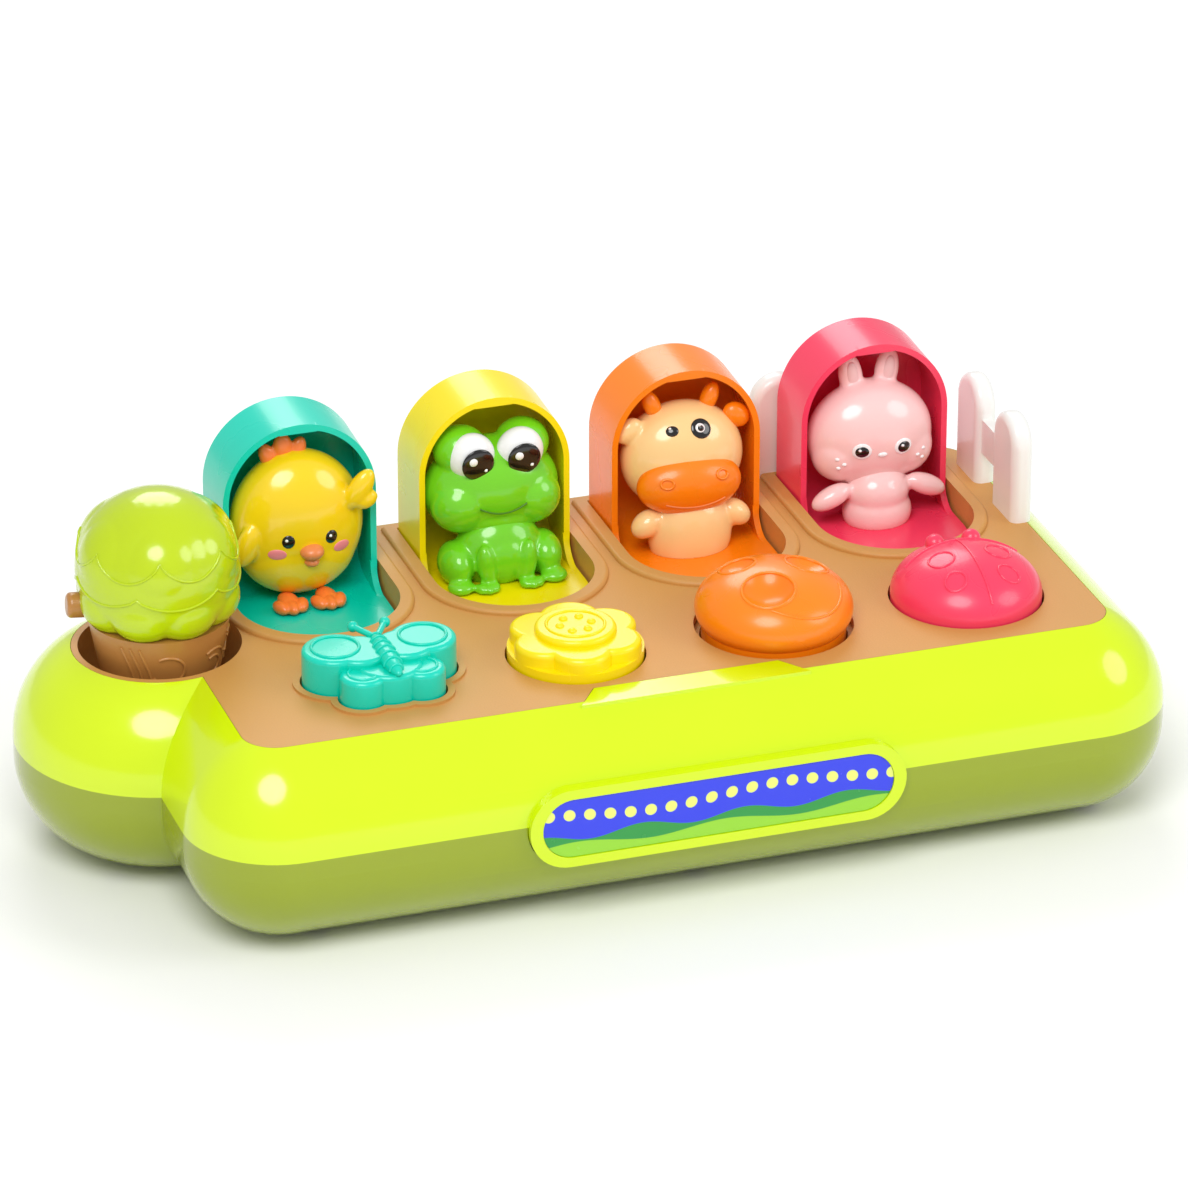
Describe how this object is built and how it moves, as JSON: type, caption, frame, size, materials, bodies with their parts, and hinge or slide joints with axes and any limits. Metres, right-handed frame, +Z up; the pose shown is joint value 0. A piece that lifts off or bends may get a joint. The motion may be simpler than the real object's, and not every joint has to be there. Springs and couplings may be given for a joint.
{
  "type": "pop up animal toy",
  "caption": "Toddler's pop-up toy: animal figures on hinged arched hoods, opened by buttons and a twist knob, with a spinning tree and a fence on a rounded casing.",
  "frame": {"origin": "middle of the footprint, on the table plane", "axes": "+X along the row of hoods towards the fence, -Y towards the child, +Z up; hoods open at rest"},
  "size_m": [0.318, 0.1618, 0.1083],
  "materials": {
    "lime": "glossy",
    "olive": "glossy",
    "rubber": "matte",
    "steel": "plated",
    "label": "printed film",
    "tan": "fine texture",
    "white": "glossy",
    "grey": "moulded",
    "canopy": "glossy",
    "trunk": "satin",
    "teal": "glossy",
    "yellow": "glossy",
    "coral": "glossy",
    "orange": "glossy",
    "chick": "glossy",
    "beak": "satin",
    "frog": "glossy",
    "cream": "glossy",
    "pink": "glossy"
  },
  "bodies": {
    "base": {"upper_housing": "lime", "lower_housing": "olive", "foot_pads": "rubber", "housing_screws": "steel", "panel_screws": "steel", "front_label": "label", "top_panel": "tan", "fence_side": "white", "fence_back": "white", "hinge_pins": "steel", "latch_deck": "grey", "deck_screws": "steel", "chick_hinge_spring": "steel", "frog_hinge_spring": "steel", "calf_hinge_spring": "steel", "bunny_hinge_spring": "steel", "chick_latch_spring": "steel", "frog_latch_spring": "steel", "calf_latch_spring": "steel", "bunny_latch_spring": "steel", "butterfly_spring": "steel", "orange_spring": "steel", "pink_spring": "steel"},
    "chick_pop_up": {"chick_hood": "teal", "chick_body": "chick", "chick_comb": "orange", "chick_beak": "beak", "chick_feet": "orange"},
    "chick_latch": {"chick_latch": "grey"},
    "frog_pop_up": {"frog_hood": "yellow", "frog_head": "frog", "frog_eyes": "white", "frog_body": "frog"},
    "frog_latch": {"frog_latch": "grey"},
    "calf_pop_up": {"calf_hood": "orange", "calf_head": "cream", "calf_muzzle": "orange", "calf_horns": "orange", "calf_body": "cream"},
    "calf_latch": {"calf_latch": "grey"},
    "bunny_pop_up": {"bunny_hood": "coral", "bunny_head": "pink", "bunny_body": "pink"},
    "bunny_latch": {"bunny_latch": "grey"},
    "butterfly_button": {"butterfly_button": "teal", "butterfly_stem_screw": "steel"},
    "flower_knob": {"flower_knob": "yellow", "flower_stem_screw": "steel"},
    "orange_button": {"orange_button": "orange", "orange_stem_screw": "steel"},
    "pink_button": {"pink_button": "coral", "pink_stem_screw": "steel"},
    "tree": {"tree_canopy": "canopy", "tree_trunk": "trunk", "tree_spindle": "grey", "tree_retainer": "grey"}
  },
  "joints": [
    {"name": "chick_hood_hinge", "type": "hinge", "parent": "base", "child": "chick_pop_up", "pos_m": [-0.0678, 0.0524, 0.0555], "axis": [1, 0, 0], "range_deg": [0, 90], "stiffness_Nm_per_rad": 0.01, "springref_deg": -45.84},
    {"name": "chick_latch_slide", "type": "slide", "parent": "base", "child": "chick_latch", "axis": [0, 1, 0], "range_m": [0, 0.003], "deforming": ["chick_latch_spring"]},
    {"name": "frog_hood_hinge", "type": "hinge", "parent": "base", "child": "frog_pop_up", "pos_m": [-0.0098, 0.0524, 0.0555], "axis": [1, 0, 0], "range_deg": [0, 90], "stiffness_Nm_per_rad": 0.01, "springref_deg": -45.84},
    {"name": "frog_latch_slide", "type": "slide", "parent": "base", "child": "frog_latch", "axis": [0, 1, 0], "range_m": [0, 0.003], "deforming": ["frog_latch_spring"]},
    {"name": "calf_hood_hinge", "type": "hinge", "parent": "base", "child": "calf_pop_up", "pos_m": [0.0482, 0.0524, 0.0555], "axis": [1, 0, 0], "range_deg": [0, 90], "stiffness_Nm_per_rad": 0.01, "springref_deg": -45.84},
    {"name": "calf_latch_slide", "type": "slide", "parent": "base", "child": "calf_latch", "axis": [0, 1, 0], "range_m": [0, 0.003], "deforming": ["calf_latch_spring"]},
    {"name": "bunny_hood_hinge", "type": "hinge", "parent": "base", "child": "bunny_pop_up", "pos_m": [0.1062, 0.0524, 0.0555], "axis": [1, 0, 0], "range_deg": [0, 90], "stiffness_Nm_per_rad": 0.01, "springref_deg": -45.84},
    {"name": "bunny_latch_slide", "type": "slide", "parent": "base", "child": "bunny_latch", "axis": [0, 1, 0], "range_m": [0, 0.003], "deforming": ["bunny_latch_spring"]},
    {"name": "butterfly_press", "type": "slide", "parent": "base", "child": "butterfly_button", "axis": [0, 0, -1], "range_m": [0, 0.003], "stiffness_N_per_m": 150, "springref_m": -0.003, "deforming": ["butterfly_spring"]},
    {"name": "flower_turn", "type": "hinge", "parent": "base", "child": "flower_knob", "pos_m": [-0.0089, -0.0326, 0.06], "axis": [0, 0, 1], "range_deg": [0, 45], "stiffness_Nm_per_rad": 0.01, "springref_deg": -11.46},
    {"name": "orange_press", "type": "slide", "parent": "base", "child": "orange_button", "axis": [0, 0, -1], "range_m": [0, 0.003], "stiffness_N_per_m": 150, "springref_m": -0.003, "deforming": ["orange_spring"]},
    {"name": "pink_press", "type": "slide", "parent": "base", "child": "pink_button", "axis": [0, 0, -1], "range_m": [0, 0.003], "stiffness_N_per_m": 150, "springref_m": -0.003, "deforming": ["pink_spring"]},
    {"name": "tree_spin", "type": "hinge", "parent": "base", "child": "tree", "pos_m": [-0.117, 0.0106, 0.06], "axis": [0, 0, 1], "continuous": true}
  ],
  "couplings": [
    {"joint": "chick_latch_slide", "follows": "butterfly_press", "ratio": 1},
    {"joint": "frog_latch_slide", "follows": "flower_turn", "m_per_rad": 0.003819},
    {"joint": "calf_latch_slide", "follows": "orange_press", "ratio": 1},
    {"joint": "bunny_latch_slide", "follows": "pink_press", "ratio": 1}
  ]
}
